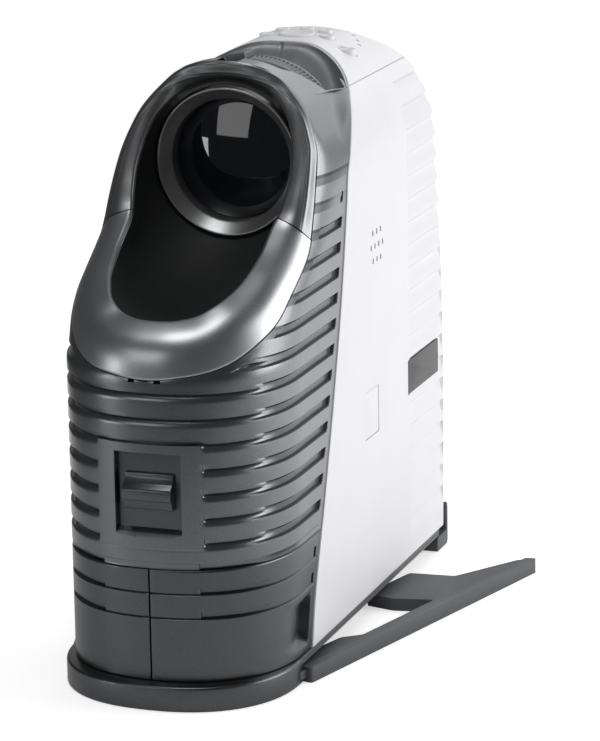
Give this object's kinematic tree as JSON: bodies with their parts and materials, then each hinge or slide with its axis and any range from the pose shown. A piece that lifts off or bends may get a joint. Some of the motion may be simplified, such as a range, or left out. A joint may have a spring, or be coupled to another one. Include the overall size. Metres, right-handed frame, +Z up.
{
  "type": "projector",
  "caption": "Upright digital projector with a deep round-topped lens hood, ribbed front shell, folding stabiliser feet, roof buttons and a rear connector panel.",
  "frame": {"origin": "on the floor, under the middle of the body's depth, on its centre plane", "axes": "+Z up, -Y the way the lens faces, +X to the right-hand side as the lens faces the viewer"},
  "size_m": [0.2014, 0.256, 0.2496],
  "materials": {
    "dark_shell": "satin grey paint",
    "silver_trim": "satin silver paint",
    "chin_trim": "satin grey metallic paint",
    "black_plastic": "matte",
    "white_plastic": "matte",
    "foot_grey": "matte",
    "coated_glass": "polished, coated",
    "bare_steel": "plain",
    "bare_aluminium": "plain",
    "board_green": "lacquered",
    "soft_rubber": "matte"
  },
  "bodies": {
    "housing": {"badge_plate": "white_plastic", "base_pan": "foot_grey", "chin_scoop": "chin_trim", "connector_plate": "black_plastic", "data_socket": "bare_steel", "fan_frame": "black_plastic", "foot_pin_left": "bare_steel", "foot_pin_right": "bare_steel", "front_cover_left": "dark_shell", "front_cover_right": "dark_shell", "front_lens": "coated_glass", "front_shell": "dark_shell", "heat_sink": "bare_aluminium", "hood_arch": "silver_trim", "inner_frame": "bare_steel", "ir_window": "coated_glass", "jack_block": "bare_steel", "label_plate": "black_plastic", "lamp_burner": "coated_glass", "lamp_housing": "bare_aluminium", "lamp_reflector": "bare_aluminium", "latch_spring": "bare_steel", "latch_tray": "dark_shell", "lens_barrel": "black_plastic", "lens_funnel": "black_plastic", "lens_trim_ring": "silver_trim", "main_board": "board_green", "optical_engine": "black_plastic", "plinth": "dark_shell", "power_inlet": "black_plastic", "power_supply": "bare_aluminium", "rear_foot_left": "foot_grey", "rear_foot_right": "foot_grey", "rear_lens": "coated_glass", "rear_panel": "white_plastic", "recess_wall": "silver_trim", "side_panel_left": "white_plastic", "side_panel_right": "white_plastic", "speaker": "black_plastic", "tilt_guide": "black_plastic", "top_cover": "white_plastic", "video_socket": "bare_steel", "wheel_motor": "black_plastic"},
    "foot_right": {"foot_right": "foot_grey"},
    "foot_left": {"foot_left": "foot_grey"},
    "latch_slider": {"latch_slider": "dark_shell"},
    "tilt_foot": {"tilt_foot": "soft_rubber"},
    "focus_ring": {"focus_ring": "black_plastic"},
    "zoom_ring": {"zoom_ring": "black_plastic"},
    "navigation_pad": {"navigation_pad": "white_plastic"},
    "power_button": {"power_button": "white_plastic"},
    "control_button_1": {"control_button_1": "white_plastic"},
    "control_button_2": {"control_button_2": "white_plastic"},
    "control_button_3": {"control_button_3": "white_plastic"},
    "control_button_4": {"control_button_4": "white_plastic"},
    "control_button_5": {"control_button_5": "white_plastic"},
    "fan_rotor": {"fan_rotor": "black_plastic"},
    "colour_wheel": {"colour_wheel": "coated_glass"}
  },
  "joints": [
    {"name": "foot_right_fold", "type": "hinge", "parent": "housing", "child": "foot_right", "pos_m": [0.04, -0.09, 0.0036], "axis": [0, 0, 1], "range_deg": [0, 15.4]},
    {"name": "foot_left_fold", "type": "hinge", "parent": "housing", "child": "foot_left", "pos_m": [-0.04, -0.09, 0.0036], "axis": [0, 0, -1], "range_deg": [0, 15.4]},
    {"name": "latch_press", "type": "slide", "parent": "housing", "child": "latch_slider", "axis": [0, 0, -1], "range_m": [0, 0.008], "stiffness_N_per_m": 120, "deforming": ["latch_spring"]},
    {"name": "tilt_foot_drop", "type": "slide", "parent": "housing", "child": "tilt_foot", "axis": [0, 0, -1], "range_m": [0, 0.015]},
    {"name": "focus_turn", "type": "hinge", "parent": "housing", "child": "focus_ring", "pos_m": [0, -0.0005, 0.2054], "axis": [0, 1, 0], "range_deg": [-60, 60]},
    {"name": "zoom_turn", "type": "hinge", "parent": "housing", "child": "zoom_ring", "pos_m": [0, 0.0145, 0.2054], "axis": [0, 1, 0], "range_deg": [-20, 40]},
    {"name": "navigation_pad_press", "type": "slide", "parent": "housing", "child": "navigation_pad", "axis": [0, 0, -1], "range_m": [0, 0.0008], "stiffness_N_per_m": 800},
    {"name": "power_button_press", "type": "slide", "parent": "housing", "child": "power_button", "axis": [0, 0, -1], "range_m": [0, 0.0008], "stiffness_N_per_m": 600},
    {"name": "control_button_1_press", "type": "slide", "parent": "housing", "child": "control_button_1", "axis": [0, 0, -1], "range_m": [0, 0.0008], "stiffness_N_per_m": 600},
    {"name": "control_button_2_press", "type": "slide", "parent": "housing", "child": "control_button_2", "axis": [0, 0, -1], "range_m": [0, 0.0008], "stiffness_N_per_m": 600},
    {"name": "control_button_3_press", "type": "slide", "parent": "housing", "child": "control_button_3", "axis": [0, 0, -1], "range_m": [0, 0.0008], "stiffness_N_per_m": 600},
    {"name": "control_button_4_press", "type": "slide", "parent": "housing", "child": "control_button_4", "axis": [0, 0, -1], "range_m": [0, 0.0008], "stiffness_N_per_m": 600},
    {"name": "control_button_5_press", "type": "slide", "parent": "housing", "child": "control_button_5", "axis": [0, 0, -1], "range_m": [0, 0.0008], "stiffness_N_per_m": 600},
    {"name": "fan_spin", "type": "hinge", "parent": "housing", "child": "fan_rotor", "pos_m": [0, 0.117, 0.042], "axis": [0, 1, 0], "continuous": true},
    {"name": "colour_wheel_spin", "type": "hinge", "parent": "housing", "child": "colour_wheel", "pos_m": [-0.008, 0.022, 0.144], "axis": [0, 1, 0], "continuous": true}
  ]
}
